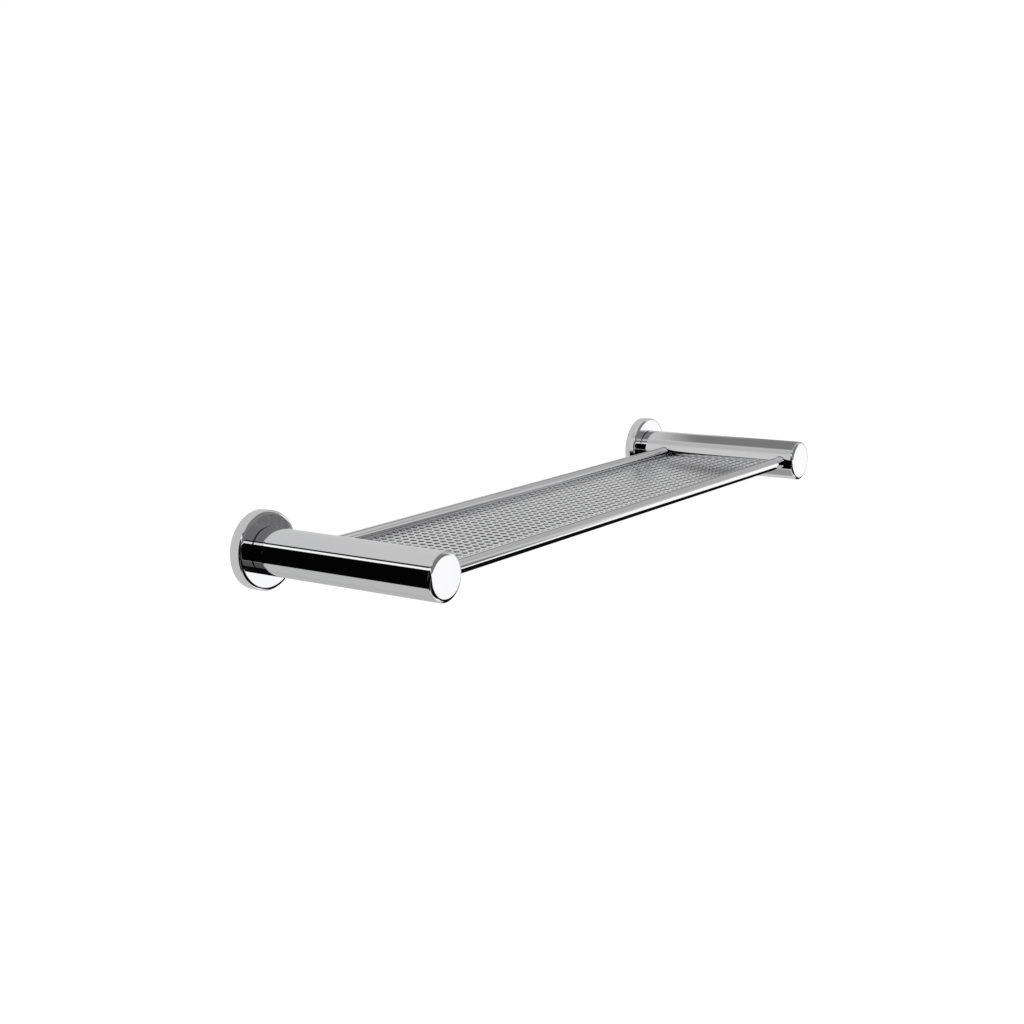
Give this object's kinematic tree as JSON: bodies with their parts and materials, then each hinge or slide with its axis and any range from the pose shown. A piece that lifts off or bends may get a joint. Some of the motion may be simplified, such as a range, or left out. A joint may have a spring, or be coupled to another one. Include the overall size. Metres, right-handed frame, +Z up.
{
  "type": "towel rack",
  "caption": "Wall-mounted towel rack: a slim perforated metal shelf between a front and a rear rail, carried by round posts on round wall roses, all chromed.",
  "frame": {"origin": "on the wall's plane, midway between the two posts and level with their axes", "axes": "+X along the rails from the left post to the right post as seen from the room, +Y into the wall, +Z up; the posts' front faces point along -Y"},
  "size_m": [0.555, 0.162, 0.055],
  "materials": {
    "chrome": "polished",
    "shelf_steel": "satin",
    "bracket_zinc": "matte",
    "screw_steel": "satin",
    "raw_brass": "satin"
  },
  "bodies": {
    "root": {"left_wall_bracket": "bracket_zinc", "left_rose": "chrome", "left_rose_set_screw": "screw_steel", "left_post_tube": "chrome", "left_post_end_cap": "chrome", "left_post_rear_plug": "raw_brass", "left_post_washer": "screw_steel", "left_post_screw": "screw_steel", "left_rear_rail_set_screw": "screw_steel", "left_front_rail_set_screw": "screw_steel", "right_wall_bracket": "bracket_zinc", "right_rose": "chrome", "right_rose_set_screw": "screw_steel", "right_post_tube": "chrome", "right_post_end_cap": "chrome", "right_post_rear_plug": "raw_brass", "right_post_washer": "screw_steel", "right_post_screw": "screw_steel", "right_rear_rail_set_screw": "screw_steel", "right_front_rail_set_screw": "screw_steel", "rear_rail": "chrome", "rear_rail_left_plug": "raw_brass", "rear_rail_right_plug": "raw_brass", "front_rail": "chrome", "front_rail_left_plug": "raw_brass", "front_rail_right_plug": "raw_brass", "perforated_shelf": "shelf_steel"}
  },
  "joints": []
}
